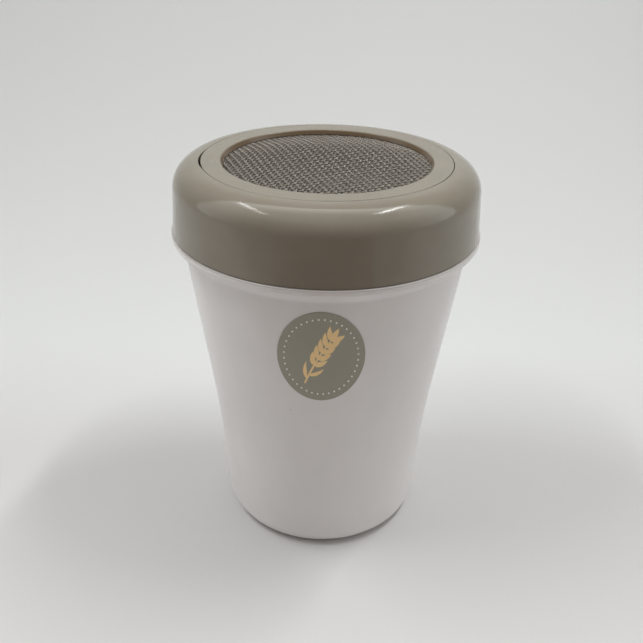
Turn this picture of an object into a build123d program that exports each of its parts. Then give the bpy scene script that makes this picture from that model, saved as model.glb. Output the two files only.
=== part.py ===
from build123d import *
import math
import os

# Flour sifter: a tapered cup with a screw lid that holds a domed wire mesh.
# Frame: millimetres, +Z up, origin at the centre of the face that the cup stands on.
# Sections are drawn as (radius, height) on the XZ plane and revolved about Z.

# ---- driving dimensions ---------------------------------------------------------

TOP = 120.0                 # top face of the lid and of the mesh's bezel
RUN_GAP = 0.15              # between faces of pieces that come apart

# cup
FOOT_R = 32.78              # where the wall's line would meet the bench
FOOT_ROUND = 4.8
WAIST_R = 33.78             # where the steep foot and the flaring wall meet
WAIST_Z = 29.8
WAIST_ROUND = 470.0         # very soft blend between the two
FLARE = 0.1288              # radius gained per millimetre of height above the waist
WALL = 1.8
FLOOR_T = 1.9
RECESS_R = 26.5             # shallow recess under the floor, inside the foot ring
RECESS_DEPTH = 0.9
GATE_R = 2.2                # moulding gate mark in the middle of the recess
GATE_T = 0.4

# flange and neck of the cup
FLANGE_R = 45.55
FLANGE_TOP = 100.3
FLANGE_EDGE = 1.5           # height of its upright edge
FLANGE_ROOT_Z = 95.6        # where its slanted underside meets the wall
FLANGE_EDGE_ROUND = 0.8
FLANGE_ROOT_ROUND = 2.0
NECK_R = 41.2
NECK_BORE_R = 39.4
NECK_LEAD_IN = 0.3          # draft of the bore up to the rim
NECK_TOP = 113.2

# screw thread between cup and lid, right-handed, one start
THREAD_PITCH = 4.0
THREAD_HEIGHT = 0.9
THREAD_ROOT_W = 1.7
THREAD_CREST_W = 0.8
THREAD_BURIED = 0.5         # how far a ridge's root reaches into its wall
NECK_THREAD_Z = 102.7       # centre of the cup's ridge where it starts, on +X
NECK_THREAD_TURNS = 1.5
LID_THREAD_DROP = 1.4       # the lid's ridge runs this far below the cup's
LID_THREAD_START = 0.25     # in turns after the start of the cup's ridge
LID_THREAD_TURNS = 1.2
LID_THREAD_R = 42.5         # root radius of the lid's ridge

# lid shell
LID_R = 45.1                # at its lower edge
LID_SHOULDER_R = 44.2       # where the round-over starts
LID_SHOULDER_Z = 112.8
LID_FLAT_R = 36.6           # where the round-over reaches the flat top
LID_BORE_R = 42.65          # inside wall at the lower edge
LID_BORE_TOP_R = 42.2
LID_ROOF_Z = 114.9
SEAT_R = 36.03              # opening in the lid's top
SEAT_Z = 116.6              # ledge that the mesh's carrier stands on
SEAT_BORE_R = 33.5
RIB_R = 38.3                # low rib that keeps the seal centred
RIB_T = 0.9
RIB_H = 1.2
NOTCH_DEPTH = 0.55          # finger-nail notch beside the carrier
NOTCH_HALF_ANGLE = 16.0
NOTCH_HEADING = 187.0

# seal
SEAL_INNER_R = 38.6
SEAL_OUTER_R = 41.9
SEAL_ROUND = 0.45
SEAL_GROOVE_R = 40.3

# carrier of the mesh: bezel above, clamp ring below
BEZEL_R = 35.9
BEZEL_OPENING_R = 30.4      # at the top face
BEZEL_THROAT_R = 29.7       # where its tapered inner wall meets the mesh
BEZEL_EDGE_ROUND = 0.6
SEAM_ROUND = 0.12           # edges of the seam between bezel and lid
SKIRT_INNER_R = 34.3
SKIRT_Z = SEAT_Z + 0.1
CLAMP_R = 34.25
CLAMP_BORE_R = 30.9
CLAMP_SPIGOT_R = 33.2       # the part that hangs through the lid's ledge
CLAMP_Z = 115.4

# woven mesh: two families of wires on concentric spheres
MESH_PITCH = 1.30
WIRE_D = 0.32
LAYER_GAP = 0.06            # between the two families
DOME_RISE = 2.10            # over the bezel's throat
MESH_RIM_DROP = 1.72        # from the top face down to the mesh's middle at the throat
WIRE_REACH_R = 33.8         # the wires' ends, held between bezel and clamp ring
CLAMP_PLAY = 0.06
WARP_HEADING = 66.5
WEFT_HEADING = WARP_HEADING - 90.0

# label on the front of the cup
LABEL_T = 0.12
LABEL_PLAY = 0.01
LABEL_X = -0.57
LABEL_Z = 77.4
LABEL_HALF_W = 11.86
LABEL_HALF_H = 15.1

# ---- worked out from them -------------------------------------------------------

floor_z = RECESS_DEPTH + FLOOR_T
bore_meets_wall_z = WAIST_Z + (NECK_BORE_R + WALL - WAIST_R) / FLARE
lid_edge_z = FLANGE_TOP + RUN_GAP
dome_radius = (BEZEL_THROAT_R**2 + DOME_RISE**2) / (2 * DOME_RISE)
dome_centre_z = TOP - MESH_RIM_DROP + DOME_RISE - dome_radius
layer_offset = (WIRE_D + LAYER_GAP) / 2
clamp_room = WIRE_D + LAYER_GAP / 2 + CLAMP_PLAY


def wall_r(z):
    """Outer radius of the cup's flaring wall at height z, above the waist."""
    return WAIST_R + FLARE * (z - WAIST_Z)


def mesh_z(r):
    """Height of the middle of the mesh at radius r."""
    return dome_centre_z + math.sqrt(dome_radius**2 - r**2)


def corner(r, z):
    """The corner of the section being drawn that is nearest to (r, z)."""
    return vertices().sort_by_distance((r, z))[0]


def ridge(root_r, start_z, turns, side):
    """A thread ridge from +X on a wall of radius root_r: side 1 points out, -1 in."""
    flank = (THREAD_ROOT_W - THREAD_CREST_W) / 2 / THREAD_HEIGHT
    buried_half_w = THREAD_ROOT_W / 2 + flank * THREAD_BURIED
    tip = THREAD_BURIED + THREAD_HEIGHT
    with BuildPart() as thread:
        with BuildLine(Plane.XY.offset(start_z)) as helix:
            Helix(THREAD_PITCH, THREAD_PITCH * turns, root_r - side * THREAD_BURIED)
        start = Plane(helix.line @ 0, x_dir=(side, 0, 0), z_dir=helix.line % 0)
        with BuildSketch(start):
            with BuildLine():
                Polyline(
                    (0, -buried_half_w),
                    (tip, -THREAD_CREST_W / 2),
                    (tip, THREAD_CREST_W / 2),
                    (0, buried_half_w),
                    close=True,
                )
            make_face()
        sweep(path=helix.wires()[0], is_frenet=True)
    return thread.part


def save(part, name):
    part.label = name
    export_step(part, f"parts/{name}.step")


os.makedirs("parts", exist_ok=True)

# ---- cup ------------------------------------------------------------------------

neck_thread = ridge(NECK_R, NECK_THREAD_Z, NECK_THREAD_TURNS, 1)
flange_root_r = wall_r(FLANGE_ROOT_Z)

with BuildPart() as cup:
    with BuildSketch(Plane.XZ):
        with BuildLine():
            Polyline(
                (0, RECESS_DEPTH),
                (RECESS_R, RECESS_DEPTH),
                (RECESS_R + 0.5, 0),
                (FOOT_R, 0),
                (WAIST_R, WAIST_Z),
                (flange_root_r, FLANGE_ROOT_Z),
                (FLANGE_R, FLANGE_TOP - FLANGE_EDGE),
                (FLANGE_R, FLANGE_TOP),
                (NECK_R, FLANGE_TOP),
                (NECK_R, NECK_TOP),
                (NECK_BORE_R + NECK_LEAD_IN, NECK_TOP),
                (NECK_BORE_R, bore_meets_wall_z),
                (WAIST_R - WALL, WAIST_Z),
                (FOOT_R - WALL, floor_z),
                (0, floor_z),
                close=True,
            )
        make_face()
        fillet(corner(FOOT_R, 0), FOOT_ROUND)
        fillet([corner(WAIST_R, WAIST_Z), corner(WAIST_R - WALL, WAIST_Z)], WAIST_ROUND)
        fillet(corner(FOOT_R - WALL, floor_z), FOOT_ROUND - WALL)
        fillet(corner(RECESS_R, RECESS_DEPTH), 0.4)
        fillet(corner(flange_root_r, FLANGE_ROOT_Z), FLANGE_ROOT_ROUND)
        fillet(corner(FLANGE_R, FLANGE_TOP - FLANGE_EDGE), FLANGE_EDGE_ROUND)
        fillet(corner(FLANGE_R, FLANGE_TOP), 0.3)
        fillet(corner(NECK_R, NECK_TOP), 0.5)
        fillet(corner(NECK_BORE_R + NECK_LEAD_IN, NECK_TOP), 0.5)
        fillet(corner(NECK_BORE_R, bore_meets_wall_z), 30)
    revolve(axis=Axis.Z)
    with BuildSketch(Plane.XY.offset(RECESS_DEPTH)):
        Circle(GATE_R)
    extrude(amount=-GATE_T, taper=10)
    add(neck_thread)
save(cup.part, "cup")

# ---- label, a thin printed film on the wall -------------------------------------

label_low = LABEL_Z - LABEL_HALF_H - 1
label_high = LABEL_Z + LABEL_HALF_H + 1
film_inner = LABEL_PLAY
film_outer = LABEL_PLAY + LABEL_T

with BuildPart() as label:
    with BuildSketch(Plane.XZ):
        with BuildLine():
            Polyline(
                (wall_r(label_low) + film_inner, label_low),
                (wall_r(label_low) + film_outer, label_low),
                (wall_r(label_high) + film_outer, label_high),
                (wall_r(label_high) + film_inner, label_high),
                close=True,
            )
        make_face()
    revolve(axis=Axis.Z)
    with BuildSketch(Plane.XZ):
        with Locations((LABEL_X, LABEL_Z)):
            Ellipse(LABEL_HALF_W, LABEL_HALF_H)
    extrude(amount=FLANGE_R, mode=Mode.INTERSECT)
save(label.part, "front_label")

# ---- lid shell ------------------------------------------------------------------

lid_thread_z = NECK_THREAD_Z + THREAD_PITCH * LID_THREAD_START - LID_THREAD_DROP
lid_thread = ridge(LID_THREAD_R, lid_thread_z, LID_THREAD_TURNS, -1)
lid_thread = lid_thread.rotate(Axis.Z, 360 * LID_THREAD_START)
notch_reach = SEAT_R + NOTCH_DEPTH
notch_half_chord = SEAT_R * math.sin(math.radians(NOTCH_HALF_ANGLE))
notch_sagitta = notch_reach - SEAT_R * math.cos(math.radians(NOTCH_HALF_ANGLE))
notch_r = (notch_half_chord**2 + notch_sagitta**2) / (2 * notch_sagitta)

with BuildPart() as lid:
    with BuildSketch(Plane.XZ):
        with BuildLine():
            Polyline(
                (LID_FLAT_R, TOP),
                (SEAT_R, TOP),
                (SEAT_R, SEAT_Z),
                (SEAT_BORE_R, SEAT_Z),
                (SEAT_BORE_R, LID_ROOF_Z),
                (RIB_R - RIB_T, LID_ROOF_Z),
                (RIB_R - RIB_T, LID_ROOF_Z - RIB_H),
                (RIB_R, LID_ROOF_Z - RIB_H),
                (RIB_R, LID_ROOF_Z),
                (LID_BORE_TOP_R, LID_ROOF_Z),
                (LID_BORE_R, lid_edge_z),
                (LID_R, lid_edge_z),
                (LID_SHOULDER_R, LID_SHOULDER_Z),
            )
            EllipticalCenterArc(
                (LID_FLAT_R, LID_SHOULDER_Z),
                LID_SHOULDER_R - LID_FLAT_R,
                TOP - LID_SHOULDER_Z,
                arc_size=90,
            )
        make_face()
        fillet(corner(SEAT_R, TOP), SEAM_ROUND)
        fillet(corner(SEAT_BORE_R, SEAT_Z), 0.3)
        fillet(corner(LID_BORE_TOP_R, LID_ROOF_Z), 0.3)
        fillet(corner(RIB_R - RIB_T, LID_ROOF_Z), 0.5)
        fillet(corner(LID_R, lid_edge_z), 0.2)
        chamfer(corner(LID_BORE_R, lid_edge_z), 0.4)
    revolve(axis=Axis.Z)
    with BuildSketch(Plane.XY.offset(SEAT_Z).rotated((0, 0, NOTCH_HEADING))):
        with Locations((notch_reach - notch_r, 0)):
            Circle(notch_r)
    extrude(amount=TOP - SEAT_Z, mode=Mode.SUBTRACT)
    add(lid_thread)
save(lid.part, "lid_shell")

# ---- seal between the cup's rim and the lid -------------------------------------

seal_low = NECK_TOP + RUN_GAP
seal_high = LID_ROOF_Z - RUN_GAP

with BuildPart() as seal:
    with BuildSketch(Plane.XZ):
        with Locations(((SEAL_INNER_R + SEAL_OUTER_R) / 2, (seal_low + seal_high) / 2)):
            RectangleRounded(SEAL_OUTER_R - SEAL_INNER_R, seal_high - seal_low, SEAL_ROUND)
        with Locations((SEAL_GROOVE_R, seal_high)):
            Circle(0.35, mode=Mode.SUBTRACT)
    revolve(axis=Axis.Z)
save(seal.part, "lid_seal")

# ---- bezel and clamp ring that hold the mesh ------------------------------------

with BuildPart() as bezel:
    with BuildSketch(Plane.XZ):
        with BuildLine():
            Polyline(
                (BEZEL_OPENING_R, TOP),
                (BEZEL_THROAT_R, mesh_z(BEZEL_THROAT_R) + clamp_room),
                (SKIRT_INNER_R, mesh_z(SKIRT_INNER_R) + clamp_room),
                (SKIRT_INNER_R, SKIRT_Z),
                (BEZEL_R, SKIRT_Z),
                (BEZEL_R, TOP),
                close=True,
            )
        make_face()
        fillet(corner(BEZEL_OPENING_R, TOP), BEZEL_EDGE_ROUND)
        fillet(corner(BEZEL_R, TOP), SEAM_ROUND)
        chamfer(corner(BEZEL_R, SKIRT_Z), 0.4)
    revolve(axis=Axis.Z)
save(bezel.part, "sieve_bezel")

with BuildPart() as clamp:
    with BuildSketch(Plane.XZ):
        with BuildLine():
            Polyline(
                (CLAMP_BORE_R, mesh_z(CLAMP_BORE_R) - clamp_room),
                (CLAMP_R, mesh_z(CLAMP_R) - clamp_room),
                (CLAMP_R, SKIRT_Z),
                (CLAMP_SPIGOT_R, SKIRT_Z),
                (CLAMP_SPIGOT_R, CLAMP_Z),
                (CLAMP_BORE_R, CLAMP_Z),
                close=True,
            )
        make_face()
        fillet(corner(CLAMP_BORE_R, CLAMP_Z), 0.5)
        fillet(corner(CLAMP_SPIGOT_R, CLAMP_Z), 0.5)
    revolve(axis=Axis.Z)
save(clamp.part, "sieve_clamp_ring")


# ---- mesh: parallel wires bent to the dome, one family above the other ----------


def wire_family(heading, layer_r):
    """Straight wires laid over a sphere of radius layer_r, along one heading."""
    axes = Plane((0, 0, dome_centre_z)).rotated((0, 0, heading))
    spin = Axis(axes.origin, axes.y_dir)
    each_side = int(WIRE_REACH_R / MESH_PITCH)
    with BuildPart() as family:
        for number in range(-each_side, each_side + 1):
            aside = number * MESH_PITCH
            half_length = math.sqrt(WIRE_REACH_R**2 - aside**2)
            if half_length < MESH_PITCH:
                continue
            bend_r = math.sqrt(layer_r**2 - aside**2)
            half_angle = math.asin(half_length / bend_r)
            tangent = axes.x_dir * math.cos(half_angle) + axes.z_dir * math.sin(half_angle)
            with BuildSketch(Plane(axes.origin, x_dir=axes.y_dir, z_dir=tangent)):
                with Locations((aside, bend_r)):
                    Circle(WIRE_D / 2)
            revolve(axis=spin, revolution_arc=math.degrees(2 * half_angle))
    return family.part


save(wire_family(WARP_HEADING, dome_radius + layer_offset), "mesh_warp_wires")
save(wire_family(WEFT_HEADING, dome_radius - layer_offset), "mesh_weft_wires")
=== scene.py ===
import math

import bmesh
import bpy
import numpy as np
from mathutils import Matrix, Vector


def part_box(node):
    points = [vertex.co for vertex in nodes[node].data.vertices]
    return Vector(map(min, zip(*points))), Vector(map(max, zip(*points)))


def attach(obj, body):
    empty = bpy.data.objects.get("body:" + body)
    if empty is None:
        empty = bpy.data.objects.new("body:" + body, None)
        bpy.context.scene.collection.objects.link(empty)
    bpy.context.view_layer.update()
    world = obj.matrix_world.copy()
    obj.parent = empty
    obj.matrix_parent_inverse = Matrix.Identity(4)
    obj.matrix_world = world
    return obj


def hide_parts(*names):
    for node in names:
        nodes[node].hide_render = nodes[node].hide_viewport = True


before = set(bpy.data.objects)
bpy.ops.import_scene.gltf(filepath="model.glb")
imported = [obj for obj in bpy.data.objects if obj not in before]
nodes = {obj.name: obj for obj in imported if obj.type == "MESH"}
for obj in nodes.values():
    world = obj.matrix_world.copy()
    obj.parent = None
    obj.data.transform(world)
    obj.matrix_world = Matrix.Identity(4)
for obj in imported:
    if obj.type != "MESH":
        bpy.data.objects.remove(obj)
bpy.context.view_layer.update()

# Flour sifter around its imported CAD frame: metres, +Z up, the label on the -Y side.

MM = 0.001

# ---- node helpers ---------------------------------------------------------------


def new_material(name):
    """A material with an empty tree, its Principled shader and its object coordinates."""
    mat = bpy.data.materials.new(name)
    mat.use_nodes = True
    tree = mat.node_tree
    tree.nodes.clear()
    out = tree.nodes.new("ShaderNodeOutputMaterial")
    shader = tree.nodes.new("ShaderNodeBsdfPrincipled")
    tree.links.new(shader.outputs[0], out.inputs["Surface"])
    coords = tree.nodes.new("ShaderNodeTexCoord").outputs["Object"]
    return mat, tree, shader, coords


def feed(tree, socket, value):
    """Gives a socket a number, a colour or another node's output."""
    if isinstance(value, bpy.types.NodeSocket):
        tree.links.new(value, socket)
    else:
        socket.default_value = value


def moved(tree, coords, scale, turn_z=0.0):
    """Coordinates scaled, then turned about Z."""
    node = tree.nodes.new("ShaderNodeMapping")
    node.inputs["Rotation"].default_value = (0, 0, turn_z)
    node.inputs["Scale"].default_value = scale
    tree.links.new(coords, node.inputs["Vector"])
    return node.outputs[0]


def axes(tree, vector):
    """The outputs X, Y and Z of a vector."""
    node = tree.nodes.new("ShaderNodeSeparateXYZ")
    tree.links.new(vector, node.inputs[0])
    return node.outputs


def noise(tree, coords, scale, detail=3.0, rough=0.5, distortion=0.0):
    """Soft clouds between 0 and 1, about 1 / scale across."""
    node = tree.nodes.new("ShaderNodeTexNoise")
    node.inputs["Scale"].default_value = scale
    node.inputs["Detail"].default_value = detail
    node.inputs["Roughness"].default_value = rough
    node.inputs["Distortion"].default_value = distortion
    tree.links.new(coords, node.inputs["Vector"])
    return node.outputs["Fac"]


def specks(tree, coords, scale):
    """Distance to scattered points."""
    node = tree.nodes.new("ShaderNodeTexVoronoi")
    node.inputs["Scale"].default_value = scale
    tree.links.new(coords, node.inputs["Vector"])
    return node.outputs["Distance"]


def remap(tree, value, low, high, to_low=0.0, to_high=1.0, smooth=False):
    """A value between low and high, carried over to between to_low and to_high."""
    node = tree.nodes.new("ShaderNodeMapRange")
    node.interpolation_type = "SMOOTHSTEP" if smooth else "LINEAR"
    for name, number in (("From Min", low), ("From Max", high), ("To Min", to_low), ("To Max", to_high)):
        node.inputs[name].default_value = number
    tree.links.new(value, node.inputs["Value"])
    return node.outputs["Result"]


def math_node(tree, operation, a, b=0.0):
    """One step of arithmetic on numbers or outputs."""
    node = tree.nodes.new("ShaderNodeMath")
    node.operation = operation
    feed(tree, node.inputs[0], a)
    feed(tree, node.inputs[1], b)
    return node.outputs[0]


def blend_colour(tree, fac, a, b):
    """Colour a where fac is 0, colour b where it is 1."""
    node = tree.nodes.new("ShaderNodeMix")
    node.data_type = "RGBA"
    feed(tree, node.inputs["Factor"], fac)
    feed(tree, node.inputs["A"], a)
    feed(tree, node.inputs["B"], b)
    return node.outputs["Result"]


def bump(tree, height, distance, strength, under=None):
    """A normal bent by a height pattern, on top of another normal if one is given."""
    node = tree.nodes.new("ShaderNodeBump")
    node.inputs["Strength"].default_value = strength
    node.inputs["Distance"].default_value = distance
    tree.links.new(height, node.inputs["Height"])
    if under is not None:
        tree.links.new(under, node.inputs["Normal"])
    return node.outputs[0]


def srgb(r, g, b):
    """A colour given as sRGB numbers up to 255, as linear RGBA."""
    linear = [((c / 255 + 0.055) / 1.055) ** 2.4 if c > 10 else c / 255 / 12.92 for c in (r, g, b)]
    return (*linear, 1.0)


def shade_of(colour, factor):
    """The same colour, darker or lighter by a factor."""
    return (*(min(c * factor, 1.0) for c in colour[:3]), 1.0)


def linked_object(name, data):
    """A new object for a mesh, a lamp or a camera, linked to the scene."""
    made = bpy.data.objects.new(name, data)
    bpy.context.scene.collection.objects.link(made)
    return made


# ---- materials ------------------------------------------------------------------
# Noise scales are features per metre, and bump distances are metres.

TAUPE = srgb(136, 130, 117)
# painted shade for the bezel's inner wall
BORE_SHADE_BROWN = srgb(104, 86, 64)
OFF_WHITE = srgb(231, 229, 228)
LID_SHADE_WHITE = srgb(168, 162, 156)
DIRT = srgb(120, 108, 98)
STEEL_DARK = srgb(140, 135, 127)
# painted shade under the lid, on the cup's flange
STEEL_LIGHT = srgb(166, 160, 151)
OXIDE = srgb(112, 100, 88)
SEAL_DARK = srgb(204, 203, 198)
SEAL_LIGHT = srgb(222, 221, 216)
LABEL_OLIVE = srgb(160, 158, 144)
LABEL_TAN = srgb(255, 220, 160)
LABEL_PALE = srgb(246, 245, 240)

PLASTIC_IOR = 1.49
BEZEL_WALL_R = 30.1 * MM    # near the middle of the bezel's tapered inner wall
BORE_FADE = 0.7 * MM        # over which the painted shade on the wall fades to the plain colour
FLANGE_TOP_Z = 100.3 * MM
WARP_HEADING = math.radians(66.84)
WEFT_HEADING = WARP_HEADING - math.pi / 2


def moulded_gloss(name, colour, rough, scuff=1.0, bore=None):
    """Glossy moulded polypropylene: faint flow marks, orange peel, fine scuffs and dust.

    Nearer to the Z axis than bore, if that is given, it is darkened to brown: painted shade on the
    bezel's inner wall.
    """
    mat, tree, shader, coords = new_material(name)
    flow = noise(tree, moved(tree, coords, (1, 1, 2.2)), 60, 4, 0.55)
    flow = remap(tree, flow, 0.35, 0.65)
    tint = blend_colour(tree, flow, shade_of(colour, 0.965), shade_of(colour, 1.035))
    grain = remap(tree, noise(tree, coords, 5200, 2, 0.6), 0.62, 0.75, 0, 0.06)
    tint = blend_colour(tree, grain, tint, shade_of(colour, 1.4))
    dust = remap(tree, specks(tree, coords, 900), 0.08, 0.04, 0, 0.10)
    tint = blend_colour(tree, dust, tint, shade_of(colour, 1.6))
    if bore is not None:
        place = axes(tree, coords)
        x_squared = math_node(tree, "MULTIPLY", place["X"], place["X"])
        y_squared = math_node(tree, "MULTIPLY", place["Y"], place["Y"])
        radius = math_node(tree, "SQRT", math_node(tree, "ADD", x_squared, y_squared))
        # painted shade: the bezel's inner wall is darkened to brown towards the axis
        bore_shade = remap(tree, radius, bore, bore + BORE_FADE, 0.95, 0.0, True)
        tint = blend_colour(tree, bore_shade, tint, BORE_SHADE_BROWN)
    feed(tree, shader.inputs["Base Color"], tint)
    hair = noise(tree, moved(tree, coords, (1, 1, 0.12), 0.6), 2600, 3, 0.65, 0.4)
    smudge = noise(tree, coords, 95, 3, 0.6, 0.8)
    scuffs = remap(tree, hair, 0.60, 0.72, 0, 0.16 * scuff)
    worn = remap(tree, smudge, 0.42, 0.66)
    marks = math_node(tree, "MULTIPLY", scuffs, worn)
    base = remap(tree, smudge, 0.35, 0.7, rough, rough + 0.03)
    feed(tree, shader.inputs["Roughness"], math_node(tree, "ADD", base, marks))
    peel = bump(tree, noise(tree, coords, 420, 2, 0.5), 0.00002, 0.09)
    feed(tree, shader.inputs["Normal"], bump(tree, hair, 0.000004, 0.12 * scuff, peel))
    shader.inputs["IOR"].default_value = PLASTIC_IOR
    return mat


def moulded_satin(name, colour, rough, milky, lip):
    """Satin off-white polypropylene: fine texture, faint drawing along the height and spots of dirt.

    From just below the height lip upwards it is darkened: painted shade under the lid's edge.
    """
    mat, tree, shader, coords = new_material(name)
    cloud = noise(tree, moved(tree, coords, (1, 1, 0.55)), 45, 4, 0.55)
    cloud = remap(tree, cloud, 0.35, 0.65)
    tint = blend_colour(tree, cloud, shade_of(colour, 0.97), shade_of(colour, 1.02))
    dirt = remap(tree, specks(tree, coords, 120), 0.035, 0.02)
    chosen = remap(tree, noise(tree, coords, 70, 1), 0.60, 0.64)
    spots = math_node(tree, "MULTIPLY", dirt, chosen)
    tint = blend_colour(tree, math_node(tree, "MULTIPLY", spots, 0.45), tint, DIRT)
    height = axes(tree, coords)["Z"]
    # painted shade: the flange top under the lid is darkened
    under_lid_shade = remap(tree, height, lip - 0.6 * MM, lip - 0.1 * MM, 0.0, 0.6, True)
    tint = blend_colour(tree, under_lid_shade, tint, LID_SHADE_WHITE)
    feed(tree, shader.inputs["Base Color"], tint)
    wear = noise(tree, coords, 60, 3, 0.6, 0.6)
    feed(tree, shader.inputs["Roughness"], remap(tree, wear, 0.3, 0.7, rough - 0.04, rough + 0.05))
    drawn = bump(tree, noise(tree, moved(tree, coords, (1, 1, 0.05)), 900, 2, 0.5), 0.00002, 0.12)
    texture = noise(tree, coords, 3800, 2, 0.6)
    feed(tree, shader.inputs["Normal"], bump(tree, texture, 0.00001, 0.4, drawn))
    shader.inputs["IOR"].default_value = PLASTIC_IOR
    shader.inputs["Subsurface Weight"].default_value = milky
    shader.inputs["Subsurface Radius"].default_value = (1.0, 0.85, 0.7)
    shader.inputs["Subsurface Scale"].default_value = 0.0025
    return mat


def drawn_wire(name, heading):
    """Drawn stainless wire: die lines along the wires' heading and a little oxide in clouds."""
    mat, tree, shader, coords = new_material(name)
    lines = noise(tree, moved(tree, coords, (0.03, 1, 1), -heading), 14000, 2, 0.6)
    steel = blend_colour(tree, remap(tree, lines, 0.35, 0.65), STEEL_DARK, STEEL_LIGHT)
    stain = remap(tree, noise(tree, coords, 260, 3, 0.6, 0.5), 0.55, 0.72, 0, 0.30)
    feed(tree, shader.inputs["Base Color"], blend_colour(tree, stain, steel, OXIDE))
    feed(tree, shader.inputs["Roughness"], remap(tree, lines, 0.3, 0.7, 0.42, 0.52))
    feed(tree, shader.inputs["Normal"], bump(tree, lines, 0.000003, 0.15))
    shader.inputs["Metallic"].default_value = 1.0
    return mat


def silicone(name):
    """Pale, slightly milky silicone rubber with a matt, grained skin."""
    mat, tree, shader, coords = new_material(name)
    cloud = noise(tree, coords, 160, 3, 0.55)
    tint = blend_colour(tree, remap(tree, cloud, 0.3, 0.7), SEAL_DARK, SEAL_LIGHT)
    feed(tree, shader.inputs["Base Color"], tint)
    feed(tree, shader.inputs["Roughness"], remap(tree, cloud, 0.3, 0.7, 0.55, 0.68))
    feed(tree, shader.inputs["Normal"], bump(tree, noise(tree, coords, 4200, 2), 0.000012, 0.4))
    shader.inputs["Subsurface Weight"].default_value = 0.25
    shader.inputs["Subsurface Radius"].default_value = (1.0, 0.95, 0.9)
    shader.inputs["Subsurface Scale"].default_value = 0.002
    return mat


def print_ink(name, colour, rough=0.55):
    """Printed film: a faint screen of the print and slight wear."""
    mat, tree, shader, coords = new_material(name)
    screen = noise(tree, coords, 6000, 1, 0.5)
    grain = remap(tree, screen, 0.3, 0.7)
    tint = blend_colour(tree, grain, shade_of(colour, 0.95), shade_of(colour, 1.05))
    wear = noise(tree, coords, 420, 4, 0.6, 0.3)
    tint = blend_colour(tree, remap(tree, wear, 0.62, 0.78, 0, 0.18), tint, shade_of(colour, 1.35))
    feed(tree, shader.inputs["Base Color"], tint)
    feed(tree, shader.inputs["Roughness"], remap(tree, wear, 0.3, 0.7, rough - 0.04, rough + 0.06))
    feed(tree, shader.inputs["Normal"], bump(tree, screen, 0.000005, 0.3))
    return mat


FINISHES = {
    "cup": moulded_satin("cup_plastic", OFF_WHITE, rough=0.32, milky=0.15, lip=FLANGE_TOP_Z),
    "lid_shell": moulded_gloss("lid_plastic", TAUPE, rough=0.078),
    "sieve_bezel": moulded_gloss("bezel_plastic", TAUPE, rough=0.20, bore=BEZEL_WALL_R),
    "sieve_clamp_ring": moulded_gloss("clamp_plastic", shade_of(TAUPE, 0.93), rough=0.34, scuff=0.5),
    "lid_seal": silicone("seal_silicone"),
    "front_label": print_ink("label_ground", LABEL_OLIVE),
}
for name, finish in FINISHES.items():
    node = nodes[name]
    node.data.materials.clear()
    node.data.materials.append(finish)

# ---- woven wire mesh ------------------------------------------------------------
# Plain weave over a shallow dome that reaches as high as the CAD wires.

PITCH = 1.355 * MM
WIRE_R = 0.197 * MM
WARP_WAVE = 0.192 * MM      # how far the wires of a family swing up and down: where two wires
WEFT_WAVE = 0.178 * MM      # cross, their middles are both waves apart
WARP_SHIFT = 0.40 * MM      # where the wire next to the middle lies, in each family
WEFT_SHIFT = -0.46 * MM
OPENING_R = 29.7 * MM       # the bezel's throat
REACH_R = 33.8 * MM         # the wires' ends, between bezel and clamp ring
END_MARGIN = 0.3 * MM       # wires that would lie closer to the edge than this are left out
DOME_RISE = 2.10 * MM       # from the throat to the top
RIM_SLOPE = 0.1407          # how steeply the clamped rim falls outwards
RIM_BEND_R = 210 * MM       # and the radius of its bend
PEAK_X = 10.0 * MM          # the mesh is pressed up into a soft ridge, highest behind the middle,
PEAK_Y = 11.7 * MM
PEAK_LENGTH = 45.0 * MM     # and falls away from there slowly along X
PEAK_SPREAD = 10.6 * MM     # and faster along Y
CREST_X = PEAK_X / 4        # about where the ridge is highest, once it also falls to the rim
SIDES = 8                   # of a wire's section
STEPS = 5                   # rings of a tube from one crossing to the next
FEWEST_STEPS = 4            # along the shortest wires

mesh_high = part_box("mesh_warp_wires")[1]
apex_z = mesh_high.z - max(WARP_WAVE, WEFT_WAVE) - WIRE_R


def ridge(x, y):
    """The raised form between 0 at the throat and about 1 on its ridge."""
    form = np.exp(-(((y - PEAK_Y) / PEAK_SPREAD) ** 2) / 2 - ((x - PEAK_X) / PEAK_LENGTH) ** 2 / 2)
    return form * (1 - (np.minimum(np.hypot(x, y), OPENING_R) / OPENING_R) ** 4)


def mesh_z(x, y):
    """Height of the mesh's middle."""
    raised = DOME_RISE * ridge(x, y) / ridge(CREST_X, PEAK_Y)
    outer = np.maximum(np.hypot(x, y) - OPENING_R, 0)
    return apex_z - DOME_RISE + raised - RIM_SLOPE * outer - outer**2 / (2 * RIM_BEND_R)


def wire_tube(middle, across, normal, start):
    """Corners and faces of a closed tube along a line, with the corners numbered from start."""
    angles = 2 * math.pi * (np.arange(SIDES) + 0.5) / SIDES
    ring = WIRE_R * (
        np.cos(angles)[None, :, None] * across
        + np.sin(angles)[None, :, None] * normal[:, None, :]
    )
    corners = (middle[:, None, :] + ring).reshape(-1, 3)
    last = start + (len(middle) - 1) * SIDES
    faces = []
    for low in range(start, last, SIDES):
        for k in range(SIDES):
            nxt = (k + 1) % SIDES
            faces.append((low + k, low + nxt, low + SIDES + nxt, low + SIDES + k))
    faces.append(tuple(start + k for k in reversed(range(SIDES))))
    faces.append(tuple(last + k for k in range(SIDES)))
    return corners, faces


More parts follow.
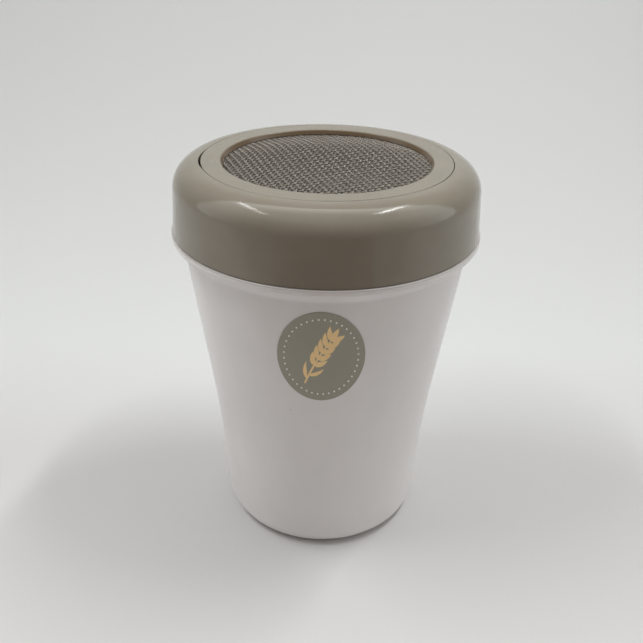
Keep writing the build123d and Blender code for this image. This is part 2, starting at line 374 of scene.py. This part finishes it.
def woven_family(name, heading, crimp, shift, other_shift, finish):
    """All the wires of one heading, each a tube that goes over and under the other family."""
    along = np.array((math.cos(heading), math.sin(heading), 0.0))
    across = np.array((-along[1], along[0], 0.0))
    up = np.array((0.0, 0.0, 1.0))
    points, faces = [], []
    start = 0
    reach = int(REACH_R / PITCH) + 1
    for number in range(-reach, reach + 1):
        offset = number * PITCH + shift
        if abs(offset) > REACH_R - END_MARGIN:
            continue
        half = math.sqrt(REACH_R**2 - offset**2)
        steps = max(int(round(2 * half / PITCH * STEPS)), FEWEST_STEPS)
        distance = np.linspace(-half, half, steps + 1)
        flat = distance[:, None] * along + offset * across
        wave = crimp * np.cos(math.pi * ((distance - other_shift) / PITCH + number))
        z = mesh_z(flat[:, 0], flat[:, 1]) + wave
        slope = np.gradient(z, distance)
        normal = up - slope[:, None] * along
        normal /= np.linalg.norm(normal, axis=1)[:, None]
        corners, sides = wire_tube(flat + z[:, None] * up, across, normal, start)
        points.append(corners)
        faces += sides
        start += len(corners)
    mesh = bpy.data.meshes.new(name)
    mesh.from_pydata(np.concatenate(points).tolist(), [], faces)
    mesh.polygons.foreach_set("use_smooth", [len(p.vertices) == 4 for p in mesh.polygons])
    mesh.materials.append(finish)
    piece = linked_object(name, mesh)
    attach(piece, "sieve_body")
    return piece


warp = woven_family(
    "woven_warp", WARP_HEADING, WARP_WAVE, WARP_SHIFT, WEFT_SHIFT, drawn_wire("wire_warp", WARP_HEADING)
)
weft = woven_family(
    "woven_weft", WEFT_HEADING, -WEFT_WAVE, WEFT_SHIFT, -WARP_SHIFT, drawn_wire("wire_weft", WEFT_HEADING)
)
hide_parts("mesh_warp_wires")
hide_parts("mesh_weft_wires")

# ---- printed motif --------------------------------------------------------------
# A wheat ear inside a ring of dots, as thin ink on the oval ground. Its outlines are given
# in halves of the label's width and height from the label's middle.

label_low, label_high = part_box("front_label")
LABEL_MIDDLE = (label_low + label_high) / 2
LABEL_HALF = (label_high - label_low) / 2
WALL_FLARE = 0.1288         # radius that the cup's wall gains for each unit of height
WAIST_Z = 29.8 * MM         # where the flaring wall starts
WAIST_FACE_R = 33.91 * MM   # the label's outer face, if it went down as far as that
INK = 0.03 * MM

RIB = 6                     # corners of a strip at each point of its line
BLADE_POINTS = 9
BLADE_TIP = 0.004
DOT_POINTS = 7
DOT_END = 0.35              # the width that a dot keeps at its ends, in parts of its size


def on_label(a, b, lift):
    """The point of the label's face at (a, b), moved outwards by lift."""
    x = LABEL_MIDDLE.x + a * LABEL_HALF.x
    z = LABEL_MIDDLE.z + b * LABEL_HALF.z
    r = WAIST_FACE_R + WALL_FLARE * (z - WAIST_Z) + lift
    return (x, -math.sqrt(r * r - x * x), z)


def ribbon(line, widths):
    """A closed thin strip of ink along a line.

    Each point of the line gets six corners: 0 to 2 across the outer face, 3 to 5 beneath them.
    """
    corners, faces = [], []
    for i, (a, b) in enumerate(line):
        before, after = line[max(i - 1, 0)], line[min(i + 1, len(line) - 1)]
        da, db = after[0] - before[0], after[1] - before[1]
        size = math.hypot(da, db)
        na, nb = -db / size * widths[i], da / size * widths[i]
        for lift in (INK, -INK / 2):
            for side in (1, 0, -1):
                corners.append(on_label(a + side * na, b + side * nb, lift))
    for i in range(len(line) - 1):
        p, q = RIB * i, RIB * (i + 1)
        for k in (0, 1):
            faces.append((p + k, p + k + 1, q + k + 1, q + k))
            faces.append((p + k + 4, p + k + 3, q + k + 3, q + k + 4))
        faces.append((p, q, q + 3, p + 3))
        faces.append((q + 2, p + 2, p + 5, q + 5))
    end = RIB * (len(line) - 1)
    faces.append((2, 1, 0, 3, 4, 5))
    faces.append((end, end + 1, end + 2, end + 5, end + 4, end + 3))
    return corners, faces


def blade(start, heading, length, width, curl=0.0):
    """A grain or a leaf: a pointed strip, widest before its middle, that may curl."""
    line, widths = [], []
    a, b = start
    step = length / (BLADE_POINTS - 1)
    for i in range(BLADE_POINTS):
        line.append((a, b))
        t = i / (BLADE_POINTS - 1)
        widths.append(max(width * math.sin(math.pi * t**0.75) ** 0.8, BLADE_TIP))
        turn = heading + curl * t
        a += math.sin(turn) * step
        b += math.cos(turn) * step
    return ribbon(line, widths)


def dot(a, b, size):
    """A small disc: a strip across it whose width follows the circle."""
    t = [math.cos(math.pi * (1 - i / (DOT_POINTS - 1))) for i in range(DOT_POINTS)]
    widths = [max(size * math.sqrt(max(1 - u * u, 0)), DOT_END * size) for u in t]
    return ribbon([(a + size * u, b) for u in t], widths)


def ink_piece(name, strips, finish):
    """Strips of ink as one printed piece on the cup."""
    form = bmesh.new()
    for corners, faces in strips:
        verts = [form.verts.new(c) for c in corners]
        for face in faces:
            form.faces.new([verts[k] for k in face])
    bmesh.ops.recalc_face_normals(form, faces=form.faces)
    mesh = bpy.data.meshes.new(name)
    form.to_mesh(mesh)
    form.free()
    mesh.materials.append(finish)
    piece = linked_object(name, mesh)
    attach(piece, "cup_body")
    return piece


LEAN = math.radians(32)     # of the ear, to the right
STEM_FOOT = -0.70           # places along the stem count from the label's middle
STEM_STEP = 0.06
STEM_POINTS = 20
STEM_WIDTH = 0.021          # widths are from the middle of a strip to its side
STEM_BOW = 0.05
BOW_SPAN = 1.3
GRAIN_PAIRS = 5
FIRST_PAIR = -0.22
PAIR_STEP = 0.168
TOP_GRAIN = 0.46
GRAIN_SPLAY = 0.92          # angles away from the stem are in radians
GRAIN_CURL = 0.60
LEFT_LEAF = -0.58
RIGHT_LEAF = -0.48
LEAF_SPLAY = 0.95
LEAF_CURL = 0.8
DOTS = 40
DOT_RING = 0.845
DOT_SIZE = 0.021


def ear_point(t):
    """A point of the ear's stem, which bends a little."""
    bow = STEM_BOW * math.cos(math.pi * t / BOW_SPAN)
    return (t * math.sin(LEAN) - bow * math.cos(LEAN), t * math.cos(LEAN) + bow * math.sin(LEAN))


def wheat_ear():
    """A stem with pairs of grains, one more grain on top and two curling leaves."""
    stem = [ear_point(STEM_FOOT + STEM_STEP * i) for i in range(STEM_POINTS)]
    strips = [ribbon(stem, [STEM_WIDTH] * STEM_POINTS)]
    for pair in range(GRAIN_PAIRS):
        root = ear_point(FIRST_PAIR + PAIR_STEP * pair)
        for side in (-1, 1):
            strips.append(blade(root, LEAN + side * GRAIN_SPLAY, 0.32, 0.060, -side * GRAIN_CURL))
    strips.append(blade(ear_point(TOP_GRAIN), LEAN, 0.30, 0.062))
    strips.append(blade(ear_point(LEFT_LEAF), LEAN - LEAF_SPLAY, 0.42, 0.044, LEAF_CURL))
    strips.append(blade(ear_point(RIGHT_LEAF), LEAN + LEAF_SPLAY, 0.38, 0.042, -LEAF_CURL))
    return strips


def dot_ring():
    """Even dots around the ear, near the label's edge."""
    around = [2 * math.pi * (i + 0.5) / DOTS for i in range(DOTS)]
    return [dot(DOT_RING * math.cos(a), DOT_RING * math.sin(a), DOT_SIZE) for a in around]


ink_piece("label_ear", wheat_ear(), print_ink("label_ear_ink", LABEL_TAN, 0.5))
ink_piece("label_dots", dot_ring(), print_ink("label_dot_ink", LABEL_PALE, 0.5))

# ---- floor ----------------------------------------------------------------------

SHEET_REACH = 2.5           # to the left, to the right and to the front
SHEET_TOP = 1.6
COVE_Y = 0.12               # where the sheet starts to curve up
COVE_R = 0.45
COVE_STEPS = 24
SHADED_PALE_FRONT = (0.624, 0.621, 0.611, 1)
PALE_BACK = (0.682, 0.696, 0.688, 1)
PAPER_GREY = (0.4, 0.4, 0.4, 1)
DIM_GREY = (0.30, 0.30, 0.28, 1)
DIM_BROWN = (0.15, 0.058, 0.040, 1)


def sheet_paper():
    """Pale paper to the camera, painted darker towards the front as shade. Bounced light and reflections
    find its front part dimmer.
    """
    mat, tree, shader, coords = new_material("floor_sheet")
    place = axes(tree, coords)
    # painted shade: the paper is darker in front of the object than behind it
    behind = remap(tree, place["Y"], 0.0, 0.10, 0.0, 1.0, True)
    pale = blend_colour(tree, behind, SHADED_PALE_FRONT, PALE_BACK)
    fibres = noise(tree, coords, 900, 3, 0.5)
    pale = blend_colour(tree, remap(tree, fibres, 0.3, 0.7, 0.0, 0.03), pale, PAPER_GREY)
    # The dim part stands for an unlit room, and is brown within a sector seen from the object.
    slant = math_node(tree, "DIVIDE", place["X"], place["Y"])
    left_end = remap(tree, slant, 0.35, 0.90, 1.0, 0.0, True)
    right_end = remap(tree, slant, -0.66, -0.57, 0.0, 1.0, True)
    sector = math_node(tree, "MULTIPLY", left_end, right_end)
    dim = blend_colour(tree, sector, DIM_GREY, DIM_BROWN)
    front = remap(tree, place["Y"], -0.17, -0.26, 0.0, 1.0, True)
    seen = tree.nodes.new("ShaderNodeLightPath").outputs["Is Camera Ray"]
    unseen = math_node(tree, "SUBTRACT", 1.0, seen)
    dimmed = math_node(tree, "MULTIPLY", front, unseen)
    feed(tree, shader.inputs["Base Color"], blend_colour(tree, dimmed, pale, dim))
    shader.inputs["Roughness"].default_value = 0.6
    return mat


def floor_and_cove():
    """A pale sheet that runs flat under the object and curves up behind it."""
    profile = [(-SHEET_REACH, 0.0), (COVE_Y, 0.0)]
    for i in range(1, COVE_STEPS + 1):
        a = math.pi / 2 * i / COVE_STEPS
        profile.append((COVE_Y + COVE_R * math.sin(a), COVE_R - COVE_R * math.cos(a)))
    profile.append((COVE_Y + COVE_R, SHEET_TOP))
    points = [(x, y, z) for y, z in profile for x in (-SHEET_REACH, SHEET_REACH)]
    faces = [(2 * i, 2 * i + 1, 2 * i + 3, 2 * i + 2) for i in range(len(profile) - 1)]
    mesh = bpy.data.meshes.new("floor")
    mesh.from_pydata(points, [], faces)
    mesh.polygons.foreach_set("use_smooth", [True] * len(mesh.polygons))
    mesh.materials.append(sheet_paper())
    floor = linked_object("floor", mesh)


# ---- light ----------------------------------------------------------------------

RISE = 0.55                 # the strips hang this far above the lid
LAMPS = (("glow", 0.03, 1.70), ("glint", 0.011, 1.20))    # each with its width and power
WALL_FRONT = (0.15, 0.125, 0.115, 1)
WALL_LEFT = (0.78, 0.79, 0.785, 1)
WALL_RIGHT = (1.02, 1.045, 1.045, 1)
ROOF_FRONT = (0.30, 0.30, 0.30, 1)
ROOF_BACK = (2.08, 2.11, 2.09, 1)
BACKDROP = (0.52, 0.525, 0.52, 1)
ROOM_STRENGTH = 1.43


def strip_light(name, start, end, aim):
    """A long thin ceiling light from start to end that faces aim: one lamp lights, one glints."""
    start, end, aim = Vector(start), Vector(end), Vector(aim)
    middle = (start + end) / 2
    along = (end - start).normalized()
    back = (middle - aim).normalized()
    back = (back - back.dot(along) * along).normalized()
    turned = Matrix((along, back.cross(along), back)).transposed().to_4x4()
    for part, width, power in LAMPS:
        light = bpy.data.lights.new(f"{name}_{part}", "AREA")
        light.shape = "RECTANGLE"
        light.size = (end - start).length
        light.size_y = width
        light.energy = power
        lamp = linked_object(f"{name}_{part}", light)
        lamp.matrix_world = Matrix.Translation(middle) @ turned
        lamp.visible_glossy = part == "glint"
        lamp.visible_diffuse = part == "glow"


def room_light():
    """Even light from above and behind, less from the front. The camera sees a plain backdrop."""
    world = bpy.data.worlds.new("room")
    bpy.context.scene.world = world
    world.use_nodes = True
    tree = world.node_tree
    tree.nodes.clear()
    out = tree.nodes.new("ShaderNodeOutputWorld")
    shader = tree.nodes.new("ShaderNodeBackground")
    tree.links.new(shader.outputs[0], out.inputs[0])
    direction = axes(tree, tree.nodes.new("ShaderNodeTexCoord").outputs["Generated"])
    rightward = remap(tree, direction["X"], -0.2, 0.9, 0.0, 1.0, True)
    backward = remap(tree, direction["Y"], -0.65, 0.10, 0.0, 1.0, True)
    side_wall = blend_colour(tree, rightward, WALL_LEFT, WALL_RIGHT)
    walls = blend_colour(tree, backward, WALL_FRONT, side_wall)
    far_back = remap(tree, direction["Y"], -0.12, 0.46, 0.0, 1.0, True)
    roof = blend_colour(tree, far_back, ROOF_FRONT, ROOF_BACK)
    upward = remap(tree, direction["Z"], 0.60, 0.93, 0.0, 1.0, True)
    room = blend_colour(tree, upward, walls, roof)
    seen = tree.nodes.new("ShaderNodeLightPath").outputs["Is Camera Ray"]
    tree.links.new(blend_colour(tree, seen, room, BACKDROP), shader.inputs["Color"])
    shader.inputs["Strength"].default_value = ROOM_STRENGTH


floor_and_cove()
room_light()
lid_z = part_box("lid_shell")[1].z
strip_light(
    "left_strip",
    (-0.65 * RISE, -0.33 * RISE, lid_z + RISE),
    (-0.65 * RISE, 0.32 * RISE, lid_z + RISE),
    (0, 0, lid_z),
)
strip_light(
    "right_strip",
    (0.42 * RISE, -0.10 * RISE, lid_z + RISE),
    (0.53 * RISE, 0.42 * RISE, lid_z + RISE),
    (0, 0, lid_z),
)

# ---- camera ---------------------------------------------------------------------

SENSOR = 36.0               # its width and the lens in millimetres
LENS = 40.03
EYE = (0.0, -0.20096, 0.18028)
PAN = math.radians(0.222)
LOOK_DOWN = math.radians(29.63)
ROLL = math.radians(1.08)

camera = bpy.data.cameras.new("camera")
camera.sensor_width = SENSOR
camera.lens = LENS
camera.clip_start = 0.01
eye = linked_object("camera", camera)
eye.matrix_world = (
    Matrix.Translation(EYE)
    @ Matrix.Rotation(PAN, 4, "Z")
    @ Matrix.Rotation(math.pi / 2 - LOOK_DOWN, 4, "X")
    @ Matrix.Rotation(ROLL, 4, "Z")
)
bpy.context.scene.camera = eye
bpy.context.scene.view_settings.view_transform = "Standard"
